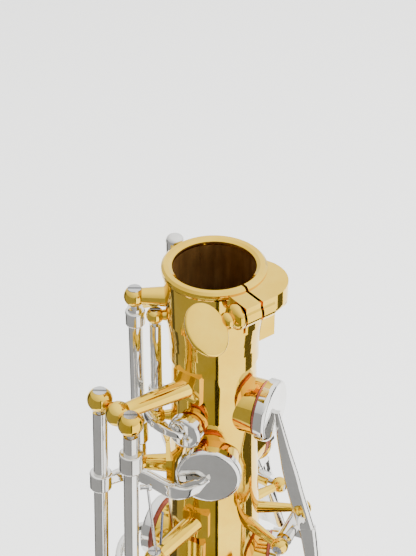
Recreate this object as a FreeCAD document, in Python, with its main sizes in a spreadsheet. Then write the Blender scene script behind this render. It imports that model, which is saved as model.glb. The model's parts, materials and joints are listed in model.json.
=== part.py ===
import FreeCAD, Part
import math
import os
import Sketcher
from FreeCAD import Placement, Rotation, Vector

# Alto saxophone body without its neck, in millimetres.
# The origin is the centre of the neck receiver's bore where its wall begins, just under the
# rounded lip. +Z runs up the body tube's axis, the bell stands towards -Y and the player's right hand is on the -X side.
# Depths are measured down from the origin. Angles go round the body tube from
# the bell's side, positive towards the player's left (+X).

os.makedirs("parts", exist_ok=True)
doc = FreeCAD.newDocument("saxophone")

UP = Vector(0, 0, 1)
DOWN = Vector(0, 0, -1)
RIGHT_HAND = Vector(-1, 0, 0)
LEFT_HAND = Vector(1, 0, 0)

drivingSizes = {
    # neck receiver and its clamp
    "rimRadius": 15.4, "lipHeight": 0.6, "waistRadius": 13.4, "tenonRadius": 12.3, "receiverDepth": 31.5,
    "slitAngle": 7, "slitWidth": 0.9, "slitDepth": 17, "lugRadius": 3.9, "lugReach": 18.9,
    "lugMiddle": 4.4, "clampWing": 16.5, "clampWingWidth": 13.5, "clampShank": 3.4,
    # body tube, bow and bell
    "tubeTopRadius": 12.7, "taper": 0.0285, "wall": 0.8, "tubeDepth": 500, "bowTurn": 52,
    "bellThroat": 33, "bellRimRadius": 60.6, "bellDepth": 250, "bellRoll": 3.4,
    "chimneyRise": 2.6, "chimneyWall": 0.9,
    # hinges and posts
    "hingeTube": 4.5, "rodSteel": 2.4, "runningFit": 0.1, "smallTube": 3.6, "smallSteel": 1.8,
    "bigBall": 7.7, "postBall": 6.6, "postFoot": 6.4, "postNeck": 4.6,
    "screwSlot": 0.8, "footThickness": 1.1, "ribWidth": 8.5,
    # keys
    "cupLap": 2.0, "cupDepth": 3.3, "cupWall": 0.9, "padProud": 1.2, "padGap": 0.1,
    "openLift": 5, "lowLap": 2.4, "springWire": 0.8,
    "guardWire": 3.2, "bumperDiameter": 9,
}

# Where each tone hole sits: angle round its tube, depth, and the hole's diameter.
toneHoles = {
    "palmF": (35, 47.5, 15.4), "highE": (-35, 63.5, 15.8), "palmEb": (118, 76, 17),
    "palmD": (52, 115, 17.5), "highFsharp": (-146, 110, 16.5), "smallC": (0, 128, 11),
    "bKey": (0, 152, 17), "sideC": (-150, 180, 15), "aKey": (4, 180, 19),
    "sideBb": (-150, 212, 17), "gKey": (4, 212, 21), "gSharp": (30, 251, 20),
    "fSharp": (-8, 303, 24), "fKey": (-6, 338, 26.5), "eKey": (-4, 378, 28),
    "dKey": (-4, 422, 29), "lowEb": (-92, 472, 27),
}

sheet = doc.addObject("Spreadsheet::Sheet", "sizes")
cells = dict(drivingSizes)
for holeName, (holeAngle, holeDepth, holeDiameter) in toneHoles.items():
    cells[holeName + "Angle"] = holeAngle
    cells[holeName + "Depth"] = holeDepth
    cells[holeName + "Hole"] = holeDiameter
for row, (alias, value) in enumerate(cells.items(), start=1):
    sheet.set(f"A{row}", alias)
    sheet.set(f"B{row}", str(value))
    sheet.setAlias(f"B{row}", alias)
doc.recompute()


class Size:
    """A length known both as a number and as the sheet's formula for it."""

    def __init__(self, value, formula):
        self.value = value
        self.formula = formula

    def join(self, sign, other, value):
        right = other.formula if isinstance(other, Size) else str(other)
        return Size(value, f"({self.formula} {sign} {right})")

    def __float__(self):
        return self.value

    def __add__(self, other):
        return self.join("+", other, self.value + float(other))

    def __radd__(self, other):
        return self + other

    def __sub__(self, other):
        return self.join("-", other, self.value - float(other))

    def __mul__(self, other):
        return self.join("*", other, self.value * float(other))

    def __truediv__(self, other):
        return self.join("/", other, self.value / float(other))


def size(alias):
    return Size(float(sheet.get(alias)), "sizes." + alias)


def length(alias):
    return float(sheet.get(alias))


def bind(piece, propertyName, value):
    if isinstance(value, Size):
        piece.setExpression(propertyName, value.formula)
    else:
        setattr(piece, propertyName, float(value))


# Places round the body tube


def outward(angle):
    turn = math.radians(angle)
    return Vector(math.sin(turn), -math.cos(turn), 0)


def around(angle):
    turn = math.radians(angle)
    return Vector(math.cos(turn), math.sin(turn), 0)


def spot(radius, angle, depth):
    return outward(angle) * radius + DOWN * depth


def tubeRadius(depth):
    return length("tubeTopRadius") + length("taper") * (depth - length("receiverDepth"))


def above(lift, angle, depth):
    """A point this far above the body tube's outer surface."""
    return spot(tubeRadius(depth) + lift, angle, depth)


# Pieces that the sub-parts are made from


def place(piece, base, direction=UP):
    piece.Placement = Placement(base, Rotation(UP, direction))
    return piece


def cylinder(diameter, start, end):
    piece = doc.addObject("Part::Cylinder", "cylinder")
    bind(piece, "Radius", diameter / 2)
    piece.Height = (end - start).Length
    return place(piece, start, end - start)


def cone(startDiameter, endDiameter, start, end):
    piece = doc.addObject("Part::Cone", "cone")
    bind(piece, "Radius1", startDiameter / 2)
    bind(piece, "Radius2", endDiameter / 2)
    piece.Height = (end - start).Length
    return place(piece, start, end - start)


def ball(diameter, centre):
    piece = doc.addObject("Part::Sphere", "ball")
    bind(piece, "Radius", diameter / 2)
    return place(piece, centre)


def ring(ringRadius, wireDiameter, centre, direction=UP):
    piece = doc.addObject("Part::Torus", "ring")
    bind(piece, "Radius1", ringRadius)
    bind(piece, "Radius2", wireDiameter / 2)
    return place(piece, centre, direction)


def block(sizes, centre, along, upwards):
    """A box centred on a point, its first side along one direction and its third upwards."""
    piece = doc.addObject("Part::Box", "block")
    sideways = upwards.cross(along)
    for propertyName, value in zip(("Length", "Width", "Height"), sizes):
        bind(piece, propertyName, value)
    corner = along * float(sizes[0]) + sideways * float(sizes[1]) + upwards * float(sizes[2])
    piece.Placement = Placement(centre - corner / 2, Rotation(along, sideways, upwards, "XZY"))
    return piece


# A cylinder's round edges, as it numbers them
topEdge = [3]
bottomEdge = [2]
bothEdges = [2, 3]


def rounded(piece, edges, radius):
    fillet = doc.addObject("Part::Fillet", "rounded")
    fillet.Base = piece
    fillet.Edges = [(edge, radius, radius) for edge in edges]
    return fillet


def joined(pieces):
    if len(pieces) == 1:
        return pieces[0]
    fuse = doc.addObject("Part::MultiFuse", "joined")
    fuse.Shapes = pieces
    return fuse


def cut(piece, tool):
    rest = doc.addObject("Part::Cut", "cut")
    rest.Base = piece
    rest.Tool = tool
    return rest


def together(pieces):
    group = doc.addObject("Part::Compound", "together")
    group.Links = pieces
    return group


def section(centre, side, face, width, thickness):
    """A flattened oval closed outline, fuller at its corners than an ellipse."""
    corner = 0.86
    steps = [(1, 0), (corner, corner), (0, 1), (-corner, corner),
             (-1, 0), (-corner, -corner), (0, -1), (corner, -corner)]
    points = [centre + side * (a * width / 2) + face * (b * thickness / 2) for a, b in steps]
    curve = Part.BSplineCurve()
    curve.interpolate(points, PeriodicFlag=True)
    return Part.Wire([curve.toShape()])


def bar(path, widths, thicknesses, side):
    """A bent key arm: an oval bar through the path's points, tapering from end to end."""
    line = Part.BSplineCurve()
    line.interpolate(path)
    first, last = line.FirstParameter, line.LastParameter
    count = 4 * (len(path) - 1)
    sections = []
    for step in range(count + 1):
        share = step / count
        at = first + (last - first) * share
        forward = Vector(*line.tangent(at)[0])
        face = forward.cross(side).normalize()
        across = face.cross(forward).normalize()
        spanShare = share * (len(widths) - 1)
        index = min(int(spanShare), len(widths) - 2)
        mix = spanShare - index
        width = widths[index] * (1 - mix) + widths[index + 1] * mix
        thickness = thicknesses[index] * (1 - mix) + thicknesses[index + 1] * mix
        sections.append(section(line.value(at), across, face, width, thickness))
    piece = doc.addObject("Part::Feature", "bar")
    piece.Shape = Part.makeLoft(sections, True, False)
    return piece


nodes = []


def node(label, piece):
    piece.Label = label
    nodes.append(piece)
    return piece


# Neck receiver: a turned sleeve with a flared lip, split and clamped at the bell's side


def outline(body, planeRole, corners):
    """A closed sketch of straight sides whose corners are bound to the sheet."""
    sketch = body.newObject("Sketcher::SketchObject", "outline")
    plane = next(item for item in body.Origin.OriginFeatures if item.Role == planeRole)
    sketch.AttachmentSupport = (plane, [""])
    sketch.MapMode = "FlatFace"
    points = [Vector(float(x), float(y), 0) for x, y in corners]
    count = len(points)
    for index in range(count):
        sketch.addGeometry(Part.LineSegment(points[index], points[(index + 1) % count]), False)
    for index in range(count):
        sketch.addConstraint(Sketcher.Constraint("Coincident", index, 2, (index + 1) % count, 1))
    for index, corner in enumerate(corners):
        for kind, value in zip(("DistanceX", "DistanceY"), corner):
            number = sketch.addConstraint(Sketcher.Constraint(kind, -1, 1, index, 1, float(value)))
            if isinstance(value, Size):
                sketch.setExpression(f"Constraints[{number}]", value.formula)
    return sketch


def turned(corners):
    """A body turned about the Z axis from an outline of radius and height."""
    body = doc.addObject("PartDesign::Body", "turned")
    sketch = outline(body, "XZ_Plane", corners)
    doc.recompute()
    turning = body.newObject("PartDesign::Revolution", "turning")
    turning.Profile = sketch
    turning.ReferenceAxis = (sketch, ["V_Axis"])
    turning.Angle = 360
    return body


slitOut = outward(length("slitAngle"))
slitAcross = around(length("slitAngle"))
clampLine = slitOut * length("lugReach") + DOWN * length("lugMiddle")


def alongClamp(distance):
    return clampLine + slitAcross * distance


def neckReceiver():
    bore = size("tenonRadius")
    rim = size("rimRadius")
    waist = size("waistRadius")
    depth = size("receiverDepth")
    lip = size("lipHeight")
    sleeve = turned([
        (bore, depth * -1), (waist, depth * -1), (waist, -26), (waist + 0.35, -22),
        (waist + 1.0, -17), (rim - 0.75, -8), (rim - 0.55, -2.4), (rim, -1.6),
        (rim, lip - 0.7), (rim - 0.7, lip), (bore + 1.0, lip), (bore, 0),
    ])
    lug = size("lugRadius")
    lugLength = 5.5
    curl = 7.4
    curlCentre = slitOut * (length("lugReach") - curl) + slitAcross * 4.6 + DOWN * length("lugMiddle")
    leftBar = cylinder(lug * 2, alongClamp(-lugLength), alongClamp(0))
    leftWeb = block((6, lugLength, lug * 2), clampLine - slitOut * 3 - slitAcross * (lugLength / 2),
                    slitOut, UP)
    rightBar = cylinder(lug * 2, alongClamp(0), alongClamp(4.6))
    rightWeb = block((6, 4.6, lug * 2), clampLine - slitOut * 3 + slitAcross * 2.3, slitOut, UP)
    half = UP * length("lugRadius")
    flat = 3.2
    leftTop = block((flat, lugLength, length("lugRadius")),
                    clampLine + slitOut * (flat / 2) - slitAcross * (lugLength / 2) + half * 0.5,
                    slitOut, UP)
    rightTop = block((flat, 4.6, length("lugRadius")),
                     clampLine + slitOut * (flat / 2) + slitAcross * 2.3 + half * 0.5, slitOut, UP)
    rightEnd = rounded(cylinder((curl + flat) * 2, curlCentre - half * 0.85, curlCentre + half),
                       bottomEdge, 2.6)
    inside = cylinder(bore * 2, DOWN * 40, UP * 5)
    slit = block((14, size("slitWidth"), size("slitDepth")),
                 slitOut * 18 + DOWN * (length("slitDepth") / 2 - 1), slitOut, UP)
    screwHole = cylinder(size("clampShank") + size("runningFit"), alongClamp(-8), alongClamp(3.6))
    solid = joined([sleeve, leftBar, leftWeb, leftTop, rightBar, rightWeb, rightTop, rightEnd])
    return node("neck_receiver", cut(solid, joined([inside, slit, screwHole])))


def clampScrew():
    """The thumb screw: shank, collar, neck and an oval wing in line with the shank."""
    lug = size("lugRadius")
    shank = cylinder(size("clampShank"), alongClamp(-7.6), alongClamp(3.2))
    collar = rounded(cylinder(lug * 2, alongClamp(-5.9), alongClamp(-8.4)), topEdge, 1.6)
    neck = cylinder(lug, alongClamp(-8), alongClamp(-11))
    wingFace = Vector(slitOut.x, slitOut.y, 1.05).normalize()
    wingAcross = wingFace.cross(slitAcross)
    wingMiddle = alongClamp(-9.4 - length("clampWingWidth") / 2)
    wing = doc.addObject("Part::Feature", "wing")
    oval = Part.Ellipse(wingMiddle + wingAcross * (length("clampWing") / 2),
                        wingMiddle + slitAcross * (length("clampWingWidth") / 2), wingMiddle)
    thickness = 1.9
    plate = Part.Face(Part.Wire([oval.toShape()])).extrude(wingFace * thickness)
    plate.translate(wingFace * (-thickness / 2))
    wing.Shape = plate
    return node("clamp_screw", joined([shank, collar, neck, wing]))


lyreAngle = 98
lyreOut = outward(lyreAngle)
lyreMiddle = lyreOut * 17.2 + DOWN * 21


def lyreSocket():
    """A square sleeve for a music lyre, soldered upright to the receiver's side."""
    width = 6.4
    tall = 22
    middle = lyreMiddle
    sleeve = block((width, width + 1, tall), middle, lyreOut, UP)
    square = block((3.2, 3.2, tall + 2), middle + lyreOut * 0.5, lyreOut, UP)
    thread = cylinder(size("smallTube") + size("runningFit"), middle, middle + lyreOut * 6)
    trim = cone(size("waistRadius") * 2 + 0.02, size("rimRadius") * 2 - 1.05,
                DOWN * length("receiverDepth"), DOWN * 4)
    return node("lyre_socket", cut(sleeve, joined([square, thread, trim])))


def lyreScrew():
    middle = lyreMiddle
    shank = cylinder(size("smallTube"), middle + lyreOut * 2.3, middle + lyreOut * 5.3)
    collar = cylinder(size("hingeTube") + 1, middle + lyreOut * 3.5, middle + lyreOut * 5.4)
    head = rounded(cylinder(8.4, middle + lyreOut * 5.2, middle + lyreOut * 8.2), bothEdges, 1.1)
    return node("lyre_screw", joined([shank, collar, head]))


# Body tube with its drawn tone-hole chimneys


def chimneyTop(name):
    return tubeRadius(length(name + "Depth")) + length("chimneyRise")


def chimneys(names):
    rings = []
    holes = []
    for name in names:
        angle = length(name + "Angle")
        depth = length(name + "Depth")
        root = spot(tubeRadius(depth) * 0.35, angle, depth)
        top = spot(chimneyTop(name), angle, depth)
        hole = size(name + "Hole")
        rings.append(cylinder(hole + size("chimneyWall") * 2, root, top))
        holes.append(cylinder(hole, root, top + outward(angle)))
    return rings, holes


ventAngle = -58
ventDepth = 49


def bodyTube():
    bottom = length("tubeDepth")
    top = length("receiverDepth")
    endRadius = size("tubeTopRadius") + size("taper") * (size("tubeDepth") - size("receiverDepth"))
    outside = cone(endRadius * 2, size("tubeTopRadius") * 2, DOWN * bottom, DOWN * top)
    inside = cone((endRadius - size("wall")) * 2, (size("tubeTopRadius") - size("wall")) * 2,
                  DOWN * bottom, DOWN * top)
    rings, holes = chimneys(toneHoles)
    ventHole = cylinder(size("smallTube"), spot(8, ventAngle, ventDepth), spot(16, ventAngle, ventDepth))
    return node("body_tube", cut(joined([outside] + rings), joined([inside, ventHole] + holes)))


def ventPip():
    """The upper octave vent: a short turned pip with a raised seat."""
    radius = tubeRadius(ventDepth)
    pip = cylinder(size("postBall"), spot(radius - 1, ventAngle, ventDepth),
                   spot(radius + 2.2, ventAngle, ventDepth))
    collar = cylinder(size("postBall") + 2.4, spot(radius - 1, ventAngle, ventDepth),
                      spot(radius + 1, ventAngle, ventDepth))
    bore = cylinder(size("smallTube") - 0.4, spot(8, ventAngle, ventDepth),
                    spot(radius + 4, ventAngle, ventDepth))
    return node("octave_vent_pip", cut(cut(joined([pip, collar]), bore), tubeSpace()))


def tubeSpace():
    """The space that the body tube fills, used to seat soldered parts on its skin."""
    lowest = length("tubeDepth")
    highest = length("receiverDepth") - 6
    return cone((tubeRadius(lowest) * 2),
                (tubeRadius(highest) * 2),
                DOWN * lowest, DOWN * highest)


# Bow and bell

bellAxis = Vector(0, -2 * length("bowTurn"), 0)
bellRise = length("tubeDepth") - length("bellDepth")


def bellRadius(depth):
    share = (length("tubeDepth") - depth) / bellRise
    slope = 8.6
    flare = length("bellRimRadius") - length("bellThroat") - slope
    return length("bellThroat") + slope * share + flare * share ** 6


def bowAt(turn):
    """A point on the bow's centre line, its turn counted from the body tube's end."""
    angle = math.radians(turn)
    reach = length("bowTurn")
    return Vector(0, reach * (math.cos(angle) - 1), -length("tubeDepth") - reach * math.sin(angle))


def bowSweep(thinner):
    startRadius = size("tubeTopRadius") + size("taper") * (size("tubeDepth") - size("receiverDepth"))
    spine = doc.addObject("Part::Circle", "spine")
    bind(spine, "Radius", size("bowTurn"))
    spine.Angle1 = 0
    spine.Angle2 = 180
    spine.Placement = Placement(Vector(0, -length("bowTurn"), -length("tubeDepth")),
                                Rotation(Vector(0, 1, 0), DOWN, RIGHT_HAND, "XZY"))
    ends = []
    for radius, centre in ((startRadius, Vector(0, 0, 0)), (size("bellThroat"), bellAxis)):
        end = doc.addObject("Part::Circle", "end")
        bind(end, "Radius", radius - thinner)
        end.Placement.Base = centre + DOWN * length("tubeDepth")
        ends.append(end)
    sweep = doc.addObject("Part::Sweep", "sweep")
    sweep.Sections = ends
    sweep.Spine = (spine, ["Edge1"])
    sweep.Solid = True
    return sweep


bowKeys = {"lowC": (62, RIGHT_HAND, 31.5, 29.4), "lowCsharp": (150, LEFT_HAND, 27, 32.2)}


def bow():
    rings = []
    holes = []
    for turn, side, hole, radius in bowKeys.values():
        top = radius + length("chimneyRise")
        rings.append(cylinder((hole) + size("chimneyWall") * 2,
                              bowAt(turn) + side * 9, bowAt(turn) + side * top))
        holes.append(cylinder((hole), bowAt(turn) + side * 9,
                              bowAt(turn) + side * (top + 1)))
    outside = joined([bowSweep(0)] + rings)
    return node("bow", cut(outside, joined([bowSweep(length("wall"))] + holes)))


bellKeys = {"lowB": (396, 33), "lowBb": (346, 34)}


def bellSide(depth, reach):
    """A point on the player's right of the bell, this far out from the bell's skin."""
    return bellAxis + RIGHT_HAND * (bellRadius(depth) + reach) + DOWN * depth


def bell():
    depths = [length("tubeDepth") - bellRise * step / 14 for step in range(15)]
    wall = length("wall")

    def flareLine(thinner):
        curve = Part.BSplineCurve()
        curve.interpolate([Vector(bellRadius(depth) - thinner, 0, -depth) for depth in depths])
        return curve.toShape()

    outer = flareLine(0)
    inner = flareLine(wall)
    low = Part.LineSegment(outer.Vertexes[0].Point, inner.Vertexes[0].Point).toShape()
    high = Part.LineSegment(outer.Vertexes[-1].Point, inner.Vertexes[-1].Point).toShape()
    skin = Part.Face(Part.Wire(Part.__sortEdges__([outer, high, inner, low])))
    flare = doc.addObject("Part::Feature", "flare")
    flare.Shape = skin.revolve(Vector(0, 0, 0), UP, 360)
    place(flare, bellAxis)
    roll = ring(size("bellRimRadius") - 0.2, size("bellRoll"), bellAxis + DOWN * (length("bellDepth") - 0.6))
    rings = []
    holes = []
    inside = doc.addObject("Part::Feature", "inside")
    axisLow = Vector(0, 0, -depths[0])
    axisHigh = Vector(0, 0, -depths[-1])
    edges = [inner, Part.LineSegment(inner.Vertexes[0].Point, axisLow).toShape(),
             Part.LineSegment(axisLow, axisHigh).toShape(),
             Part.LineSegment(axisHigh, inner.Vertexes[-1].Point).toShape()]
    inside.Shape = Part.Face(Part.Wire(Part.__sortEdges__(edges))).revolve(Vector(0, 0, 0), UP, 360)
    place(inside, bellAxis)
    for depth, hole in bellKeys.values():
        rings.append(cylinder((hole) + size("chimneyWall") * 2,
                              bellSide(depth, -24), bellSide(depth, length("chimneyRise"))))
        holes.append(cylinder((hole), bellSide(depth, -24), bellSide(depth, 6)))
    outside = joined([flare, roll] + rings)
    return node("bell", cut(outside, joined([inside] + holes)))


def bowRings():
    """The two bands that join the bow to the body tube and to the bell."""
    bands = []
    depth = length("tubeDepth")
    for centre, radius in ((Vector(0, 0, 0), tubeRadius(depth)), (bellAxis, bellRadius(depth - 9) + 0.1)):
        low = centre + DOWN * depth
        high = low + UP * 9
        outside = rounded(cylinder(radius * 2 + 2.6, low, high), bothEdges, 0.5)
        bands.append(cut(outside, cylinder(radius * 2 + 0.1, low + DOWN, high + UP)))
    return node("bow_rings", together(bands))


def bellBrace():
    """The ring stay that holds the bell off the body tube, low between the two."""
    depth = 466
    bodyEnd = spot(tubeRadius(depth) - 2, 0, depth)
    bellEnd = bellAxis + Vector(0, bellRadius(depth) - 1, -depth)
    middle = (bodyEnd + bellEnd) / 2
    direction = (bellEnd - bodyEnd).normalize()
    hoopRadius = 9
    hoop = ring(hoopRadius, 4, middle, direction.cross(UP))
    arms = [cylinder(5, bodyEnd, middle - direction * hoopRadius),
            cylinder(5, middle + direction * hoopRadius, bellEnd)]
    plate = block((14, 16, 7), spot(tubeRadius(depth), 0, depth), around(0), outward(0))
    pad = cylinder(16, bellEnd - direction * 6.5, bellEnd)
    bellSpace = doc.addObject("Part::Cone", "bellSpace")
    bellSpace.Radius1 = bellRadius(depth + 20)
    bellSpace.Radius2 = bellRadius(depth - 20) + 0.05
    bellSpace.Height = 40
    place(bellSpace, bellAxis + DOWN * (depth + 20))
    hollow = cylinder((hoopRadius * 2 - 4),
                      middle - direction.cross(UP) * 6, middle + direction.cross(UP) * 6)
    trimmed = cut(joined([hoop, plate, pad] + arms), hollow)
    return node("bell_brace", cut(trimmed, joined([tubeSpace(), bellSpace])))


# Hinges: each one is a steel rod with a slotted head, between two ball-headed posts

hinges = {}


def hinge(name, top, bottom, tube="hingeTube", steel="rodSteel"):
    """Names a hinge by the centres of its upper and lower balls."""
    hinges[name] = (top, bottom, tube, steel)


def onHinge(name, distance):
    """A point on a hinge's line, this far from the centre of its upper ball."""
    top, bottom = hinges[name][:2]
    return top + (bottom - top).normalize() * distance


def depthOnHinge(name, depth):
    top, bottom = hinges[name][:2]
    return top + (bottom - top) * ((depth + top.z) / (top.z - bottom.z))


hinge("sideE", above(24.2, -95, 37), above(24.2, -95, 292))
hinge("sideF", above(23.2, -72, 37), above(23.2, -72, 352))
hinge("upper", above(16.6, -66, 92), above(16.6, -66, 240))
hinge("lower", above(16.0, -64, 282), above(16.0, -64, 448))
hinge("sideC", above(13, -118, 152), above(13, -118, 306))
hinge("sideBb", above(14.5, -103, 190), above(14.5, -103, 312))
hinge("gSharp", above(13.0, 64, 228), above(13.0, 64, 284))
hinge("octave", spot(23.3, -122, 11.5), spot(23.3, -120, 75), "hingeTube", "rodSteel")
hinge("vent", spot(17.4, -116, 17), spot(17.4, -116, 55), "smallTube", "smallSteel")
hinge("thumb", above(8.5, 162, 84), above(8.5, 162, 152), "smallTube", "smallSteel")
hinge("palmF", spot(27, 35, 92) - around(35) * 9.5, spot(27, 35, 92) + around(35) * 9.5,
      "smallTube", "smallSteel")
hinge("palmEb", spot(26, 118, 100) - around(118) * 9.5, spot(26, 118, 100) + around(118) * 9.5,
      "smallTube", "smallSteel")
hinge("palmD", spot(27, 52, 142) - around(52) * 9.5, spot(27, 52, 142) + around(52) * 9.5,
      "smallTube", "smallSteel")
hinge("lowEb", spot(44, -130, 428), spot(44, -130, 486))
hinge("lowC", spot(44, -146, 428), spot(44, -146, 552))
hinge("lowCsharp", Vector(47, -52, -288), Vector(47, -52, -540))
hinge("lowB", Vector(32, -47, -292), Vector(32, -47, -418))
hinge("lowBb", Vector(22, -52, -292), Vector(22, -52, -378))

screwDepth = 1.0


def ballSize(name):
    if name in ("sideE", "sideF"):
        return size("bigBall")
    if hinges[name][2] == "smallTube":
        return size("postBall") - 1.2
    return size("postBall")


def hingeRods():
    rods = []
    for name, (top, bottom, tube, steel) in hinges.items():
        down = (bottom - top).normalize()
        reach = float(ballSize(name)) / 2
        crown = top - down * (reach * 0.86)
        headSize = size(steel) * 1.7
        head = cylinder(headSize, crown, crown + down * screwDepth)
        rod = cylinder(size(steel), crown + down * 0.5, bottom + down * (reach * 0.6))
        sideways = down.cross(Vector(0.5, 0.85, 0.1)).normalize()
        slot = block((float(headSize) + 1, size("screwSlot"), 0.9), crown, sideways, down)
        rods.append(cut(joined([head, rod]), slot))
    return node("hinge_rods", together(rods))


def ballAt(name, point):
    """A post's bored ball, with the seat for the rod's slotted head in its crown."""
    top, bottom, tube, steel = hinges[name]
    down = (bottom - top).normalize()
    diameter = ballSize(name)
    reach = float(diameter) / 2
    solid = ball(diameter, point)
    if (point - top).Length > 1:
        return solid, [cylinder(size(steel) + 0.04, point - down * (reach + 1), point + down * (reach * 0.62))]
    bore = cylinder(size(steel) + 0.04, point - down * (reach + 1), point + down * (reach + 1))
    seat = cylinder(size(steel) * 1.7 + 0.04, point - down * (reach + 1),
                    point - down * (reach * 0.86 - screwDepth))
    return solid, [bore, seat]


def leg(footPoint, ballPoint, slim=0.0):
    return cone(size("postFoot") - slim, size("postNeck") - slim, footPoint, ballPoint)


def footPlate(angle, depth, width, tall):
    radius = tubeRadius(depth)
    thickness = 2.6
    middle = spot(radius + length("footThickness") - thickness / 2, angle, depth)
    return block((width, tall, thickness), middle, around(angle), outward(angle))


def upperPosts():
    """The posts along the body tube above the bell's rim."""
    solids = []
    bores = []
    middle = spot(35, -83, 38)
    solids += [leg(spot(11, -66, 37), middle), ball(size("bigBall"), middle)]
    solids.append(footPlate(-66, 36, 9.5, 10))
    for name in ("sideE", "sideF"):
        solid, holes = ballAt(name, hinges[name][0])
        solids.append(solid)
        bores += holes
    feet = [("upper", 0, -52, 88), ("upper", 1, -60, 240), ("gSharp", 0, 64, 228),
            ("gSharp", 1, 64, 284), ("sideC", 0, -118, 152), ("sideBb", 0, -103, 190),
            ("thumb", 0, 162, 84), ("thumb", 1, 162, 152), ("octave", 1, -118, 75),
            ("vent", 1, -116, 55), ("palmF", 0, 20, 92), ("palmF", 1, 50, 92),
            ("palmEb", 0, 102, 100), ("palmEb", 1, 134, 100), ("palmD", 0, 36, 142),
            ("palmD", 1, 68, 142)]
    for name, end, angle, depth in feet:
        point = hinges[name][end]
        slim = 2.2 if hinges[name][2] == "smallTube" else 0
        solids.append(leg(spot(tubeRadius(depth) - 2, angle, depth), point, slim))
        if name in ("upper", "octave", "sideC", "sideBb", "gSharp"):
            solids.append(footPlate(angle, depth, 8.5, 9))
        solid, holes = ballAt(name, point)
        solids.append(solid)
        bores += holes
    return node("upper_posts", cut(joined(solids), joined(bores + [tubeSpace()])))


def receiverPost():
    """The posts of the octave mechanism that are soldered to the neck receiver."""
    solids = []
    bores = []
    for name, angle, slim in (("octave", -122, 0), ("vent", -116, 2.2)):
        point = hinges[name][0]
        solids.append(leg(spot(12.6, angle, -point.z), point, slim))
        solid, holes = ballAt(name, point)
        solids.append(solid)
        bores += holes
    trim = cone(size("waistRadius") * 2 + 0.1, size("rimRadius") * 2 - 1.0,
                DOWN * 26, DOWN * 3)
    return node("octave_posts", cut(joined(solids), joined(bores + [trim])))


def lowerPosts():
    """The posts along the lower body tube."""
    solids = []
    bores = []
    feet = [("lower", 0, -60, 282), ("lower", 1, -60, 448), ("sideE", 1, -88, 292),
            ("sideF", 1, -76, 352), ("sideC", 1, -118, 306), ("sideBb", 1, -103, 312),
            ("lowEb", 0, -122, 428), ("lowEb", 1, -122, 486), ("lowC", 0, -150, 428)]
    for name, end, angle, depth in feet:
        point = hinges[name][end]
        solids.append(leg(spot(tubeRadius(min(depth, 494)) - 2, angle, min(depth, 494)), point))
        solids.append(footPlate(angle, min(depth, 490), 9, 9))
        solid, holes = ballAt(name, point)
        solids.append(solid)
        bores += holes
    return node("lower_posts", cut(joined(solids), joined(bores + [tubeSpace()])))


def bellPosts():
    """The posts of the low keys that stand on the bell and the bow."""
    solids = []
    bores = []
    for name in ("lowB", "lowBb", "lowCsharp"):
        for end in (0, 1):
            point = hinges[name][end]
            if name == "lowCsharp" and end == 1:
                foot = bowAt(150) + Vector(18, 14, 8)
            else:
                inward = (bellAxis + UP * point.z - point).normalize()
                foot = point + inward * ((bellAxis + UP * point.z - point).Length - bellRadius(-point.z) + 1)
            solids.append(leg(foot, point))
            solid, holes = ballAt(name, point)
            solids.append(solid)
            bores += holes
    foot = bowAt(45) + Vector(-12, 20, -2)
    solids.append(leg(foot, hinges["lowC"][1]))
    solid, holes = ballAt("lowC", hinges["lowC"][1])
    solids.append(solid)
    spaces = [tubeSpace(), bellSolid(), bowSweep(0)]
    return node("bell_posts", cut(joined(solids), joined(bores + holes + spaces)))


def bellSolid():
    """The space that the bell fills, skin and inside together."""
    heights = [length("tubeDepth") - bellRise * step / 14 for step in range(15)]
    curve = Part.BSplineCurve()
    curve.interpolate([Vector(bellRadius(depth), 0, -depth) for depth in heights])
    skin = curve.toShape()
    low = Vector(0, 0, -heights[0])
    high = Vector(0, 0, -heights[-1])
    edges = [skin, Part.LineSegment(skin.Vertexes[0].Point, low).toShape(),
             Part.LineSegment(low, high).toShape(),
             Part.LineSegment(high, skin.Vertexes[-1].Point).toShape()]
    space = doc.addObject("Part::Feature", "bellSolid")
    space.Shape = Part.Face(Part.Wire(Part.__sortEdges__(edges))).revolve(Vector(0, 0, 0), UP, 360)
    return place(space, bellAxis)


# Keys


def onTube(name, depth, target):
    """A point inside a hinge tube's wall, on the side that faces a target."""
    centre = depthOnHinge(name, depth)
    axis = (hinges[name][1] - hinges[name][0]).normalize()
    across = target - centre
    across = (across - axis * across.dot(axis)).normalize()
    return centre + across * (length(hinges[name][2]) * 0.46)


def bored(name, sleeves):
    """Sleeves on a hinge's line, with the steel rod's running bore through them."""
    top, bottom, tube, steel = hinges[name]
    bore = cylinder(size(steel) + size("runningFit"), top, bottom)
    return cut(joined(sleeves), bore)


def keyTube(name, startDepth, endDepth, collars=()):
    """A key's hinge tube, with a thicker collar wherever an arm is soldered on."""
    down = (hinges[name][1] - hinges[name][0]).normalize()
    sleeves = [cylinder(size(hinges[name][2]), depthOnHinge(name, startDepth), depthOnHinge(name, endDepth))]
    for depth, wider, tall in collars:
        middle = depthOnHinge(name, depth)
        sleeve = cylinder(size(hinges[name][2]) + wider, middle - down * (tall / 2), middle + down * (tall / 2))
        sleeves.append(rounded(sleeve, bothEdges, 0.7))
    return bored(name, sleeves)


def cup(centre, normal, hole, lap="cupLap"):
    """A nickel key cup, open towards its tone hole, with a rounded back."""
    diameter = hole + size(lap) * 2
    shell = rounded(cylinder(diameter, centre, centre + normal * length("cupDepth")), topEdge, 1.3)
    recess = cylinder(diameter - size("cupWall") * 2, centre - normal,
                      centre + normal * (length("cupDepth") - length("cupWall")))
    return cut(shell, recess)


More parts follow.
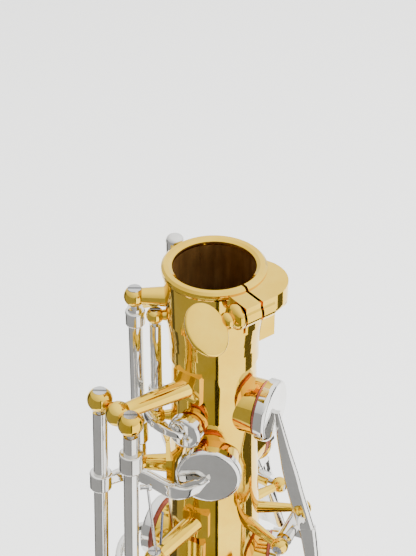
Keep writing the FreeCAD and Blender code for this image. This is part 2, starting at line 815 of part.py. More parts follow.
def pad(centre, normal, hole, lap="cupLap"):
    """A leather-covered felt pad, a little proud of its cup."""
    diameter = hole + size(lap) * 2 - size("cupWall") * 2 - 0.1
    face = centre - normal * length("padProud")
    back = centre + normal * (length("cupDepth") - length("cupWall") - 0.05)
    return rounded(cylinder(diameter, face, back), bottomEdge, 0.5)


def seat(name):
    """Where a key's cup starts over a hole in the body tube, and the way it faces."""
    angle = length(name + "Angle")
    depth = length(name + "Depth")
    radius = chimneyTop(name) + length("padGap") + length("padProud")
    return spot(radius, angle, depth), outward(angle)


def cupBack(centre, normal, rise=0.5):
    return centre + normal * (length("cupDepth") + rise)


def arm(start, end, rise, side=UP, width=5.0, tip=2.6):
    """A key arm that arches from its hinge tube over to the middle of a cup."""
    middle = (start + end) / 2 + rise
    return bar([start, middle, end], [width, width * 0.85, tip], [2.4, 2.3, 1.6], side)


def highE():
    centre, normal = seat("highE")
    back = cupBack(centre, normal)
    start = onTube("sideE", 68, back)
    path = [start, start + Vector(12, -9.5, 1), back + Vector(-9, 3.2, -3.2), back]
    pieces = [keyTube("sideE", 41.4, 287, [(68, 2.4, 6), (262, 1.6, 8)]),
              cup(centre, normal, size("highEHole")),
              bar(path, [4.4, 5.2, 5.6, 1.6], [2.2, 2.6, 2.8, 1.5], UP),
              touch("sideE", 262, -95, 9, 24)]
    standsClosed(node("high_e_key", joined(pieces)), "sideE", centre, normal)
    node("high_e_pad", pad(centre, normal, size("highEHole")))


def touch(line, depth, angle, reach, tall):
    """A side-key touch: a rounded paddle standing out from the key's tube."""
    out = outward(angle)
    middle = depthOnHinge(line, depth) + out * reach
    start = onTube(line, depth, middle)
    stem = bar([start, start + out * (reach * 0.5), middle], [8, 7, 6], [2.4, 2.4, 2.4], UP)
    paddle = bar([middle + UP * (tall / 2), middle + out * 1.2, middle - UP * (tall / 2)],
                 [5, 9, 5], [2.2, 3.2, 2.2], around(angle))
    return joined([stem, paddle])


def highFsharp():
    centre, normal = seat("highFsharp")
    back = cupBack(centre, normal)
    path = [onTube("sideF", 110, spot(34, -88, 111)), spot(34, -88, 111), spot(30, -118, 111), back]
    pieces = [keyTube("sideF", 41.4, 347, [(51, 2.6, 6.5), (110, 2.2, 6), (336, 1.6, 8)]),
              cup(centre, normal, size("highFsharpHole")),
              bar(path, [4.4, 5, 5, 2], [2.2, 2.4, 2.4, 1.6], UP),
              touch("sideF", 336, -80, 9, 16)]
    standsClosed(node("high_fsharp_key", joined(pieces)), "sideF", centre, normal)
    node("high_fsharp_pad", pad(centre, normal, size("highFsharpHole")))


def palmKey(name, label, angle, topArm, touchDepth):
    """A palm key rocks on a short rod that lies across the body: cup above, touch below."""
    centre, normal = seat(name)
    back = cupBack(centre, normal)
    top, bottom = hinges[name][:2]
    pivot = (top + bottom) / 2
    pivotDepth = -pivot.z
    out = outward(angle)
    upperPath = [back, back + out * topArm + DOWN * (pivotDepth - length(name + "Depth")) * 0.45,
                 pivot + out * 5.5]
    lowerPath = [pivot + out * 5.2 + UP * 2, pivot + out * 8.5 + DOWN * 14, pivot + out * 12 + DOWN * touchDepth]
    sideways = around(angle)
    blade = bar(upperPath, [1.8, 2.1, 2.6], [1.8, 5.2, 5.6], sideways)
    tail = bar(lowerPath, [2.6, 7, 12], [5.6, 3.6, 2.4], sideways)
    hub = cylinder(size(hinges[name][2]) + 1.4, pivot - sideways * 6.2, pivot + sideways * 6.2)
    neck = block((2.4, 6, 5), pivot + out * 3, sideways, UP)
    metal = [cup(centre, normal, size(name + "Hole")), blade, tail, bored(name, [hub, neck])]
    standsClosed(node(label + "_key", joined(metal)), name, centre, normal)
    node(label + "_pad", pad(centre, normal, size(name + "Hole")))


def octaveKeys():
    """The octave mechanism: vent key, neck pin lever and thumb lever."""
    normal = outward(ventAngle)
    radius = tubeRadius(ventDepth) + 2.2 + length("padGap") + length("padProud")
    centre = spot(radius, ventAngle, ventDepth)
    hole = 6.8
    back = cupBack(centre, normal)
    bends = [spot(22.5, -98, 45.5), spot(23.3, -78, 46.5)]
    path = [onTube("vent", 45.5, bends[0])] + bends + [back]
    pieces = [keyTube("vent", 20.2, 51.8, [(45.5, 1.6, 4)]), cup(centre, normal, hole),
              bar(path, [3.4, 3.2, 3.2, 2.0], [1.8, 1.8, 1.8, 1.4], UP)]
    standsClosed(node("octave_vent_key", joined(pieces)), "vent", centre, normal)
    node("octave_vent_pad", pad(centre, normal, hole))

    pinFoot = spot(18.9, -172, 23)
    pin = rounded(cylinder(size("postBall") - 1.1, pinFoot, pinFoot + UP * 23.4), topEdge, 1.8)
    reach = bar([onTube("octave", 19, spot(25.5, -140, 20.5)), spot(25.5, -140, 20.5), spot(22.5, -160, 22.5), pinFoot + UP * 1.5],
                [5, 4.6, 4.4, 4], [2.2, 2.2, 2.2, 2.2], UP)
    tail = bar([onTube("octave", 66, spot(27, -134, 67)), spot(27, -134, 67), spot(27.5, -154, 68)],
               [5, 4.6, 4.2], [2.2, 2.2, 2.2], UP)
    pieces = [keyTube("octave", 15.4, 71.2, [(19, 1.6, 5), (62, 1.6, 8)]), pin, reach, tail]
    node("octave_pin_lever", joined(pieces))

    bend = above(11, 176, 139)
    plate = bar([onTube("thumb", 138, bend), bend, above(10, -166, 140)],
                [6, 12, 15], [2.0, 2.6, 2.6], UP)
    knuckle = above(11, 176, 92)
    finger = bar([onTube("thumb", 92, knuckle), knuckle, above(13, -176, 83), spot(28, -164, 75)],
                 [4.2, 4.2, 4, 3.6], [2, 2, 2, 2], UP)
    pieces = [keyTube("thumb", 87.4, 148.6, [(138, 1.6, 8)]), plate, finger]
    node("octave_thumb_lever", joined(pieces))


def pearlOn(back, normal, diameter):
    """A finger pearl in its own small nickel cup, on top of a key."""
    rim = cylinder(diameter + 1.6, back - normal * 1.1, back + normal * 2.4)
    pearl = rounded(cylinder(diameter, back + normal * 2.42, back + normal * 4.6), topEdge, 1.4)
    return rim, pearl


def openTurn(line, centre, normal):
    """The turn about a hinge, in degrees, that lifts a cup by the open height."""
    top, bottom = hinges[line][:2]
    axis = (top - bottom).normalize()
    return axis, math.degrees(length("openLift") / axis.cross(centre - top).dot(normal))


keyTurns = {}


def standsClosed(piece, line, centre, normal):
    """Notes how far a sprung-shut key turns to open."""
    keyTurns[piece.Label] = (line, openTurn(line, centre, normal)[1])
    return piece


def standsOpen(piece, line, centre, normal):
    """Turns a key from its closed place to its open place of rest."""
    axis, turn = openTurn(line, centre, normal)
    piece.Placement = Placement(Vector(0, 0, 0), Rotation(axis, turn), hinges[line][0])
    keyTurns[piece.Label] = (line, -turn)
    return piece


def stackKey(name, label, line, startDepth, endDepth, pearl=True):
    """A stack key: cup over its hole, arm to its tube, pad, and a pearl to press."""
    centre, normal = seat(name)
    back = cupBack(centre, normal)
    depth = length(name + "Depth")
    start = onTube(line, depth, back)
    out = outward((length(name + "Angle") - 65) / 2)
    metal = [keyTube(line, startDepth, endDepth, [(depth, 1.6, 7)]), cup(centre, normal, size(name + "Hole")),
             arm(start, back, out * 5)]
    solids = [pad(centre, normal, size(name + "Hole"))]
    if pearl:
        rim, button = pearlOn(back + normal * 0.4, normal, 14)
        metal.append(rim)
        solids.append(button)
    key = node(label, together([joined(metal)] + solids))
    return standsOpen(key, line, centre, normal)


def stacks():
    stackKey("smallC", "small_c_key", "upper", 96.5, 139, False)
    stackKey("bKey", "b_key", "upper", 139.4, 165)
    stackKey("aKey", "a_key", "upper", 165.4, 197)
    stackKey("gKey", "g_key", "upper", 197.4, 235.5)
    stackKey("fSharp", "fsharp_key", "lower", 286.5, 320.5, False)
    stackKey("fKey", "f_key", "lower", 321, 358)
    stackKey("eKey", "e_key", "lower", 358.5, 400)
    stackKey("dKey", "d_key", "lower", 400.5, 443.5)


def sideKey(name, label, line, startDepth, endDepth, touchDepth, angle, arch):
    centre, normal = seat(name)
    back = cupBack(centre, normal)
    depth = length(name + "Depth")
    middle = depthOnHinge(line, depth) + back
    rise = Vector(middle.x, middle.y, 0).normalize() * arch
    start = onTube(line, depth, middle * 0.5 + rise)
    metal = [keyTube(line, startDepth, endDepth, [(depth, 1.6, 7), (touchDepth, 1.6, 7)]),
             cup(centre, normal, size(name + "Hole")), arm(start, back, rise, UP, 4.6),
             touch(line, touchDepth, angle, 8, 15)]
    key = node(label, together([joined(metal), pad(centre, normal, size(name + "Hole"))]))
    return standsClosed(key, line, centre, normal)


def gSharpKey():
    centre, normal = seat("gSharp")
    back = cupBack(centre, normal)
    start = onTube("gSharp", 251, back)
    plate = bar([onTube("gSharp", 275, above(17.5, 78, 275)), above(17.5, 78, 275), above(17, 94, 275)],
                [9, 13, 15], [2.4, 2.8, 2.6], UP)
    metal = [keyTube("gSharp", 232.4, 279.6, [(251, 1.6, 7)]), cup(centre, normal, size("gSharpHole")),
             arm(start, back, outward(47) * 2.5), plate]
    key = node("gsharp_key", together([joined(metal), pad(centre, normal, size("gSharpHole"))]))
    return standsClosed(key, "gSharp", centre, normal)


def lowKey(label, line, centre, normal, hole, path, startDepth, endDepth, plate, side=UP):
    """A low key: large cup, long arm to its tube, and a touch plate for the little finger."""
    metal = [keyTube(line, startDepth, endDepth), cup(centre, normal, hole, "lowLap"),
             bar(path + [cupBack(centre, normal)], [6, 6, 6, 4], [2.6, 2.6, 2.6, 1.8], side), plate]
    return node(label, together([joined(metal), pad(centre, normal, hole, "lowLap")]))


def lowKeys():
    proud = length("padGap") + length("padProud")
    centre = spot(chimneyTop("lowEb") + proud, -92, 472)
    plate = bar([onTube("lowEb", 436, spot(50, -112, 436)), spot(50, -112, 436), spot(50, -96, 436)],
                [9, 12, 13], [2.4, 2.8, 2.6], UP)
    key = lowKey("low_eb_key", "lowEb", centre, outward(-92), 27,
                 [onTube("lowEb", 472, spot(45, -112, 472)), spot(45, -112, 472)], 432.4, 481.6, plate)
    standsClosed(key, "lowEb", centre, outward(-92))

    turn, side, hole, radius = bowKeys["lowC"]
    centre = bowAt(turn) + side * (radius + length("chimneyRise") + proud)
    plate = bar([onTube("lowC", 452, spot(53, -132, 452)), spot(53, -132, 452), spot(56, -112, 452)],
                [9, 12, 13], [2.4, 2.8, 2.6], UP)
    key = lowKey("low_c_key", "lowC", centre, side, hole,
                 [onTube("lowC", 541, Vector(-41, 17, -544)), Vector(-41, 17, -544)], 432.4, 547.6, plate)
    standsOpen(key, "lowC", centre, side)

    turn, side, hole, radius = bowKeys["lowCsharp"]
    centre = bowAt(turn) + side * (radius + length("chimneyRise") + proud)
    plate = bar([onTube("lowCsharp", 298, Vector(46, -40, -298)), Vector(46, -40, -298), Vector(42, -24, -298)],
                [9, 12, 13], [2.4, 2.8, 2.6], UP)
    key = lowKey("low_csharp_key", "lowCsharp", centre, side, hole,
                 [onTube("lowCsharp", 520, Vector(47, -72, -524)), Vector(47, -72, -524)], 292.4, 535.6, plate)
    standsClosed(key, "lowCsharp", centre, side)

    routes = {
        "lowB": ("low_b_key", 396, 413.6, 314, [(40, -41), (45, -29)]),
        "lowBb": ("low_bb_key", 346, 373.6, 330, [(31, -57), (41, -47), (46, -35)]),
    }
    for name, (label, depth, endDepth, tall, touchPath) in routes.items():
        hole = bellKeys[name][1]
        centre = bellSide(depth, length("chimneyRise") + proud)
        clear = bellRadius(depth) + 9
        level = bellAxis + DOWN * depth
        path = [onTube(name, depth, level + spot(clear, 180, 0))]
        path += [level + spot(clear, angle, 0) for angle in (180, -150)]
        path += [level + spot(clear + 3, -118, 0)]
        bends = [Vector(x, y, -tall) for x, y in touchPath]
        plate = bar([onTube(name, tall, bends[0])] + bends, [9, 12, 13], [2.4, 2.8, 2.6], UP)
        metal = [keyTube(name, 296.4, endDepth), cup(centre, RIGHT_HAND, hole, "lowLap"),
                 bar(path + [cupBack(centre, RIGHT_HAND)], [6, 6, 6, 6, 4], [2.8, 2.8, 2.8, 2.6, 1.8], UP), plate]
        key = node(label, together([joined(metal), pad(centre, RIGHT_HAND, hole, "lowLap")]))
        standsOpen(key, name, centre, RIGHT_HAND)


def guardOver(base, normal, radius, reach, spaces):
    """A wire guard over a low key's cup: a hoop, a cross bar and three legs to the tube."""
    hoopMiddle = base + normal * reach
    side = normal.cross(UP).normalize()
    pieces = [ring(radius, size("guardWire"), hoopMiddle, normal),
              cylinder(size("guardWire"), hoopMiddle - UP * radius, hoopMiddle + UP * radius)]
    for turn in (32, 148, 270):
        angle = math.radians(turn)
        spoke = side * math.sin(angle) + UP * math.cos(angle)
        pieces.append(cylinder(size("guardWire"), hoopMiddle + spoke * radius,
                               base + spoke * (radius * 0.96) - normal * 16))
    return cut(joined(pieces), joined(spaces))


def guards():
    reach = length("chimneyRise") + length("cupDepth") + length("openLift") + 10.5
    places = []
    for name, (depth, hole) in bellKeys.items():
        places.append((bellSide(depth, 0), RIGHT_HAND, hole / 2 + 7.4, reach))
    turn, side, hole, radius = bowKeys["lowC"]
    places.append((bowAt(turn) + side * radius, side, hole / 2 + 7.4, reach))
    hoops = []
    felts = []
    for base, normal, radius, high in places:
        hoops.append(guardOver(base, normal, radius, high, [bellSolid(), bowSweep(0), tubeSpace()]))
        foot = base + normal * (high - length("guardWire") / 2 + 0.3)
        felts.append(cylinder(size("bumperDiameter"), foot - normal * 2.4, foot - normal * 0.32))
    node("key_guards", together(hoops))
    node("guard_bumpers", together(felts))


# Fittings at the player's side


def thumbHook():
    depth = 330
    radius = tubeRadius(depth)
    plate = block((16, 24, 5), spot(radius, 180, depth), around(180), outward(180))
    start = spot(radius + 1, 180, depth + 2)
    hook = bar([start, start + Vector(0, 9, 3), start + Vector(0, 17, 0), start + Vector(0, 20, -9)],
               [13, 14, 13, 10], [4.4, 3.6, 3.4, 3.0], RIGHT_HAND)
    screws = [ball(5, spot(radius + 2.6, 180, depth + shift)) for shift in (-8, 9)]
    return node("thumb_hook", cut(joined([plate, hook] + screws), tubeSpace()))


def thumbRest():
    depth = 163
    angle = 168
    foot = spot(tubeRadius(depth) - 2, angle, depth)
    button = rounded(cylinder(15, foot, foot + outward(angle) * 6.5), topEdge, 2.2)
    return node("thumb_rest", cut(button, tubeSpace()))


def strapRing():
    depth = 262
    radius = tubeRadius(depth)
    plate = block((9, 13, 5), spot(radius, 180, depth), around(180), outward(180))
    eye = ring(5.6, 3, spot(radius + 7.6, 180, depth), around(180))
    return node("strap_ring", cut(joined([plate, eye]), tubeSpace()))


def postRibs():
    """The long plates that the stack posts are soldered to, let a little into the tube's wall."""
    thickness = 1.6
    plates = []
    for angle, startDepth, endDepth in ((-57, 96, 234), (-60, 288, 442)):
        middleDepth = (startDepth + endDepth) / 2
        start = above(0, angle, startDepth)
        end = above(0, angle, endDepth)
        along = (start - end).normalize()
        middle = above(length("footThickness") - thickness / 2, angle, middleDepth)
        out = around(angle).cross(along).normalize()
        plates.append(block((size("ribWidth"), (end - start).Length, thickness), middle,
                            around(angle), out))
    return node("post_ribs", together(plates))


def needleSprings():
    """Blued needle springs: each runs from a post's ball beside its key's tube."""
    wires = []
    routes = [("upper", 0, -1, 13), ("upper", 1, -1, 26), ("lower", 0, 1, 26), ("lower", 1, -1, 26),
              ("sideC", 0, 1, 24), ("sideBb", 0, 1, 24), ("gSharp", 0, 1, 22)]
    for name, end, way, reach in routes:
        top, bottom = hinges[name][:2]
        down = (bottom - top).normalize() * way
        inward = Vector(-hinges[name][end].x, -hinges[name][end].y, 0).normalize()
        start = hinges[name][end] + inward * 3.0 + down * 2.6
        wires.append(cylinder(size("springWire"), start, start + down * reach + inward * 1.0))
    return node("needle_springs", together(wires))


def build():
    neckReceiver()
    clampScrew()
    lyreSocket()
    lyreScrew()
    bodyTube()
    ventPip()
    bow()
    bell()
    bowRings()
    bellBrace()
    upperPosts()
    receiverPost()
    lowerPosts()
    bellPosts()
    hingeRods()
    highE()
    highFsharp()
    palmKey("palmF", "palm_f", 35, 4.5, 40)
    palmKey("palmEb", "palm_eb", 118, 4, 30)
    palmKey("palmD", "palm_d", 52, 4, 30)
    octaveKeys()
    stacks()
    sideKey("sideC", "side_c_key", "sideC", 156.5, 301.5, 292, -124, 3)
    sideKey("sideBb", "side_bb_key", "sideBb", 194.5, 307.5, 270, -135, 11)
    gSharpKey()
    lowKeys()
    guards()
    thumbHook()
    thumbRest()
    strapRing()
    postRibs()
    needleSprings()


build()
doc.recompute()

failed = [item.Name for item in doc.Objects if "Invalid" in item.State or "Error" in item.State]
if failed:
    raise RuntimeError("these objects failed: " + ", ".join(failed))
for piece in nodes:
    if piece.Shape.isNull() or not piece.Shape.isValid():
        raise RuntimeError(piece.Label + " has no valid shape")
for piece in nodes:
    piece.Shape.exportStep("parts/" + piece.Label + ".step")
print(len(nodes), "nodes written")
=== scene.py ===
import json
import math
import bpy
from mathutils import Matrix, Vector

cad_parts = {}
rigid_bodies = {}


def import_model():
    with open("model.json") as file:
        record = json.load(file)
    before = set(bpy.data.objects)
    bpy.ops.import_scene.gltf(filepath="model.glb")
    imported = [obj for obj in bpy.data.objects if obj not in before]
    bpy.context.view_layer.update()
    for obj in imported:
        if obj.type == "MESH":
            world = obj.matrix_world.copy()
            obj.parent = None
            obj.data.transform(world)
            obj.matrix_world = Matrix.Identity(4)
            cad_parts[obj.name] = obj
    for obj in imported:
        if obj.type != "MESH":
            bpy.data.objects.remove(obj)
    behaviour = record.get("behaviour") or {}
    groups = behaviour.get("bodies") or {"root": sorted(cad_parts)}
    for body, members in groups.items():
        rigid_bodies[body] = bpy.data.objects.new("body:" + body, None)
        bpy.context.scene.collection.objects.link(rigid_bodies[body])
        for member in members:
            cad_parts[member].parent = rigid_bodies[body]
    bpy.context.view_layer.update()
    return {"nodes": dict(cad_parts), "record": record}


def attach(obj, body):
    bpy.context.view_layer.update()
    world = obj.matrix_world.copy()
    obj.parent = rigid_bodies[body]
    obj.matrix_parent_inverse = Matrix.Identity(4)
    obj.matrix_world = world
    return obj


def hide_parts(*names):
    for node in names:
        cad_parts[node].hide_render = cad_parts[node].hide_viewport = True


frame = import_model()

nodes = frame["nodes"]
bodyOf = {node: body for body, members in frame["record"]["behaviour"]["bodies"].items()
          for node in members}
mm = 0.001


# Places on the horn: angles turn from the bell's side towards the left hand

def outward(angle):
    turn = math.radians(angle)
    return Vector((math.sin(turn), -math.cos(turn), 0))


def spot(radius, angle, depth):
    return (outward(angle) * radius + Vector((0, 0, -depth))) * mm


# Modelling helpers

def deselectAll():
    if bpy.context.mode != "OBJECT":
        bpy.ops.object.mode_set(mode="OBJECT")
    bpy.ops.object.select_all(action="DESELECT")


def pickOnly(piece):
    deselectAll()
    piece.select_set(True)
    bpy.context.view_layer.objects.active = piece


def startEdit(piece, mode="FACE"):
    pickOnly(piece)
    bpy.ops.object.mode_set(mode="EDIT")
    bpy.ops.mesh.select_mode(type=mode)
    bpy.ops.mesh.select_all(action="DESELECT")


def endEdit():
    bpy.ops.object.mode_set(mode="OBJECT")


def editFaces(piece, chosen):
    # starts an edit with only the faces picked that chosen says yes to
    startEdit(piece)
    endEdit()
    for face in piece.data.polygons:
        face.select = chosen(face)
    bpy.ops.object.mode_set(mode="EDIT")


def stand(piece, middle, facing, across):
    # turns a piece from its own axes to its place on the horn; the place goes into the mesh
    up = facing.normalized()
    side = across.normalized()
    turn = Matrix((side, up.cross(side), up)).transposed().to_4x4()
    piece.matrix_world = Matrix.Translation(middle) @ turn
    pickOnly(piece)
    bpy.ops.object.transform_apply(location=True, rotation=True, scale=True)


def smooth(piece, degrees=50):
    pickOnly(piece)
    bpy.ops.object.shade_smooth_by_angle(angle=math.radians(degrees))


def roundEdges(piece, width, segments, sharperThan=40):
    pickOnly(piece)
    bevel = piece.modifiers.new("roundEdges", "BEVEL")
    bevel.width = width * mm
    bevel.segments = segments
    bevel.limit_method = "ANGLE"
    bevel.angle_limit = math.radians(sharperThan)
    bpy.ops.object.modifier_apply(modifier="roundEdges")


def turnedPiece(name, profile, middle, axis, sides=64):
    # a lathe-turned piece: rings of (radius, height) along its axis, closed at both ends
    deselectAll()
    firstRadius, firstHeight = profile[0]
    bpy.ops.mesh.primitive_circle_add(vertices=sides, radius=firstRadius * mm, fill_type="NGON")
    piece = bpy.context.active_object
    piece.name = name
    startEdit(piece, "EDGE")
    bpy.ops.mesh.select_all(action="SELECT")
    bpy.ops.transform.translate(value=(0, 0, firstHeight * mm))
    for (lastRadius, lastHeight), (radius, height) in zip(profile, profile[1:]):
        bpy.ops.mesh.extrude_region_move(TRANSFORM_OT_translate={
            "value": (0, 0, (height - lastHeight) * mm)})
        ratio = radius / lastRadius
        bpy.ops.transform.resize(value=(ratio, ratio, 1), center_override=(0, 0, height * mm))
    bpy.ops.mesh.select_all(action="SELECT")
    bpy.ops.mesh.normals_make_consistent(inside=False)
    endEdit()
    offAxis = Vector((0.3, 0.2, 1))
    stand(piece, middle, axis, axis.cross(offAxis))
    smooth(piece)
    return piece


def finishPiece(piece, material, body):
    piece.data.materials.append(material)
    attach(piece, body)


# Shader helpers

def newMaterial(name, roughness, metallic=0.0, **sockets):
    material = bpy.data.materials.new(name)
    material.use_nodes = True
    shader = material.node_tree.nodes["Principled BSDF"]
    shader.inputs["Roughness"].default_value = roughness
    shader.inputs["Metallic"].default_value = metallic
    for socket, value in sockets.items():
        shader.inputs[socket.replace("_", " ")].default_value = value
    return material, material.node_tree, shader


def addNode(tree, kind, **values):
    made = tree.nodes.new(kind)
    for key, value in values.items():
        setattr(made, key, value)
    return made


def coords(tree, stretch=(1, 1, 1), turn=(0, 0, 0)):
    place = addNode(tree, "ShaderNodeTexCoord")
    mapping = addNode(tree, "ShaderNodeMapping")
    mapping.inputs["Scale"].default_value = stretch
    mapping.inputs["Rotation"].default_value = turn
    tree.links.new(place.outputs["Object"], mapping.inputs["Vector"])
    return mapping.outputs["Vector"]


def noise(tree, vector, scale, detail, roughness):
    made = addNode(tree, "ShaderNodeTexNoise")
    made.inputs["Scale"].default_value = scale
    made.inputs["Detail"].default_value = detail
    made.inputs["Roughness"].default_value = roughness
    tree.links.new(vector, made.inputs["Vector"])
    return made.outputs["Fac"]


def multiplied(tree, first, second):
    made = addNode(tree, "ShaderNodeMath", operation="MULTIPLY")
    tree.links.new(first, made.inputs[0])
    tree.links.new(second, made.inputs[1])
    return made.outputs[0]


def ramp(tree, factor, stops):
    made = addNode(tree, "ShaderNodeValToRGB")
    elements = made.color_ramp.elements
    while len(elements) < len(stops):
        elements.new(0.5)
    for element, (position, colour) in zip(elements, stops):
        element.position = position
        element.color = (*colour, 1)
    tree.links.new(factor, made.inputs["Fac"])
    return made.outputs["Color"]


def spread(tree, factor, low, high, start=0.3, end=0.7):
    made = addNode(tree, "ShaderNodeMapRange")
    made.inputs["From Min"].default_value = start
    made.inputs["From Max"].default_value = end
    made.inputs["To Min"].default_value = low
    made.inputs["To Max"].default_value = high
    tree.links.new(factor, made.inputs["Value"])
    return made.outputs["Result"]


def bump(tree, shader, height, strength, distance):
    made = addNode(tree, "ShaderNodeBump")
    made.inputs["Strength"].default_value = strength
    made.inputs["Distance"].default_value = distance
    tree.links.new(height, made.inputs["Height"])
    tree.links.new(made.outputs["Normal"], shader.inputs["Normal"])


# Metals: colours are the darkest, the brightest and the middle tint of soft clouds

metals = {
    "goldLacquer": {"colours": [(0.76, 0.465, 0.03), (0.88, 0.60, 0.075), (0.82, 0.53, 0.05)],
                    "polish": (0.035, 0.11), "ripple": 0.05, "hairlines": 1440},
    "nickelPlate": {"colours": [(0.70, 0.68, 0.64), (0.82, 0.81, 0.79), (0.76, 0.75, 0.72)],
                    "polish": (0.03, 0.10), "ripple": 0.035, "hairlines": 1560},
    "rodSteel": {"colours": [(0.42, 0.42, 0.42), (0.58, 0.58, 0.58), (0.50, 0.50, 0.51)],
                 "polish": (0.16, 0.30), "ripple": 0.10, "hairlines": 2520},
    "bluedSteel": {"colours": [(0.10, 0.12, 0.18), (0.20, 0.22, 0.30), (0.14, 0.15, 0.20)],
                   "polish": (0.20, 0.34), "ripple": 0.08, "hairlines": 2520},
}


def makeMetal(name):
    look = metals[name]
    material, tree, shader = newMaterial(name, roughness=0.08, metallic=1.0)
    vector = coords(tree)
    clouds = noise(tree, vector, scale=46, detail=5.0, roughness=0.6)
    darkest, brightest, between = look["colours"]
    tint = ramp(tree, clouds, [(0.34, darkest), (0.52, between), (0.68, brightest)])
    tree.links.new(tint, shader.inputs["Base Color"])
    # handling marks: soft smears crossed by fine lengthwise hairlines
    smears = noise(tree, vector, scale=150, detail=6.0, roughness=0.65)
    lines = noise(tree, coords(tree, stretch=(1, 1, 0.03)), look["hairlines"], detail=3.0, roughness=0.7)
    sharp, dull = look["polish"]
    marks = spread(tree, multiplied(tree, smears, lines), sharp, dull, start=0.16, end=0.40)
    tree.links.new(marks, shader.inputs["Roughness"])
    orangePeel = noise(tree, vector, scale=260, detail=2.0, roughness=0.5)
    bump(tree, shader, orangePeel, look["ripple"], distance=0.00006)
    return material


def makeBoreBrass():
    # bare brass inside the receiver, turned and dulled
    material, tree, shader = newMaterial("boreBrass", roughness=0.34, metallic=0.9)
    streaks = noise(tree, coords(tree, stretch=(1, 1, 0.08)), scale=520, detail=5.0, roughness=0.7)
    patches = noise(tree, coords(tree), scale=90, detail=4.0, roughness=0.6)
    tint = ramp(tree, multiplied(tree, streaks, patches),
                [(0.10, (0.26, 0.125, 0.035)), (0.26, (0.38, 0.20, 0.06)), (0.44, (0.52, 0.32, 0.11))])
    tree.links.new(tint, shader.inputs["Base Color"])
    tree.links.new(spread(tree, streaks, low=0.26, high=0.48), shader.inputs["Roughness"])
    bump(tree, shader, streaks, strength=0.25, distance=0.0001)
    return material


def makePadLeather():
    material, tree, shader = newMaterial("padLeather", roughness=0.5, Sheen_Weight=0.15)
    vector = coords(tree)
    patches = noise(tree, vector, scale=160, detail=5.0, roughness=0.6)
    tint = ramp(tree, patches, [(0.3, (0.16, 0.028, 0.016)), (0.5, (0.30, 0.055, 0.03)),
                                (0.72, (0.42, 0.10, 0.055))])
    tree.links.new(tint, shader.inputs["Base Color"])
    grain = addNode(tree, "ShaderNodeTexVoronoi")
    grain.inputs["Scale"].default_value = 2600
    tree.links.new(vector, grain.inputs["Vector"])
    tree.links.new(spread(tree, patches, low=0.38, high=0.62), shader.inputs["Roughness"])
    bump(tree, shader, grain.outputs["Distance"], strength=0.35, distance=0.0001)
    return material


def makePearl():
    material, tree, shader = newMaterial("pearl", roughness=0.16, Coat_Weight=0.8)
    vector = coords(tree, stretch=(1, 1, 0.6), turn=(0.4, 0.2, 0))
    bands = noise(tree, vector, scale=240, detail=6.0, roughness=0.62)
    tint = ramp(tree, bands, [(0.30, (0.62, 0.66, 0.66)), (0.46, (0.86, 0.82, 0.76)),
                              (0.58, (0.80, 0.86, 0.84)), (0.72, (0.92, 0.88, 0.86))])
    tree.links.new(tint, shader.inputs["Base Color"])
    tree.links.new(spread(tree, bands, low=0.10, high=0.26), shader.inputs["Roughness"])
    bump(tree, shader, bands, strength=0.08, distance=0.0001)
    return material


def makeFelt():
    material, tree, shader = newMaterial("bumperFelt", roughness=0.95, Sheen_Weight=0.6)
    fibres = noise(tree, coords(tree), scale=2400, detail=6.0, roughness=0.8)
    tint = ramp(tree, fibres, [(0.3, (0.10, 0.012, 0.012)), (0.7, (0.34, 0.05, 0.045))])
    tree.links.new(tint, shader.inputs["Base Color"])
    bump(tree, shader, fibres, strength=0.8, distance=0.0003)
    return material


def makeBlackPlastic():
    material, tree, shader = newMaterial("blackPlastic", roughness=0.2)
    scuffs = noise(tree, coords(tree), scale=320, detail=6.0, roughness=0.7)
    tint = ramp(tree, scuffs, [(0.3, (0.012, 0.012, 0.013)), (0.75, (0.035, 0.034, 0.033))])
    tree.links.new(tint, shader.inputs["Base Color"])
    tree.links.new(spread(tree, scuffs, low=0.14, high=0.36), shader.inputs["Roughness"])
    bump(tree, shader, scuffs, strength=0.06, distance=0.0001)
    return material


gold, nickel, steel, blued = [makeMetal(name) for name in metals]
boreBrass = makeBoreBrass()
leather = makePadLeather()
pearl = makePearl()
felt = makeFelt()
blackPlastic = makeBlackPlastic()
print("materials made")


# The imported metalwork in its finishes. A key whose one node holds metal, pad and pearl is copied
# and taken apart, so that each solid can have its own finish

goldNodes = ["neck_receiver", "lyre_socket", "body_tube", "octave_vent_pip", "bow", "bell", "bow_rings",
             "bell_brace", "upper_posts", "octave_posts", "lower_posts", "bell_posts", "key_guards",
             "thumb_hook", "strap_ring", "post_ribs", "lyre_screw"]
looks = {name: [gold] for name in goldNodes}
looks.update({"hinge_rods": [steel], "needle_springs": [blued], "guard_bumpers": [felt],
              "thumb_rest": [blackPlastic]})

severalSolids = ["small_c_key", "b_key", "a_key", "g_key", "gsharp_key", "fsharp_key", "f_key", "e_key",
                 "d_key", "side_c_key", "side_bb_key", "low_eb_key", "low_c_key", "low_csharp_key",
                 "low_b_key", "low_bb_key"]
copied = severalSolids + ["neck_receiver"]
# the clamp screw is shown by finer pieces made below
rebuilt = ["clamp_screw"]
mergeWithin = 0.000001
placesPerMetre = 500000


def spanOf(piece):
    corners = [Vector(corner) for corner in piece.bound_box]
    return (corners[6] - corners[0]).length


def placeKey(point):
    return tuple(round(value * placesPerMetre) for value in point)


def cornerNormals(mesh):
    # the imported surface's own normals, by place
    found = {}
    for loop, normal in zip(mesh.loops, mesh.corner_normals):
        key = placeKey(mesh.vertices[loop.vertex_index].co)
        found.setdefault(key, []).append(normal.vector.copy())
    return found


def giveNormals(mesh, found):
    normals = []
    for face in mesh.polygons:
        for index in face.vertices:
            choices = found.get(placeKey(mesh.vertices[index].co), [face.normal])
            normals.append(max(choices, key=face.normal.dot))
    mesh.normals_split_custom_set(normals)


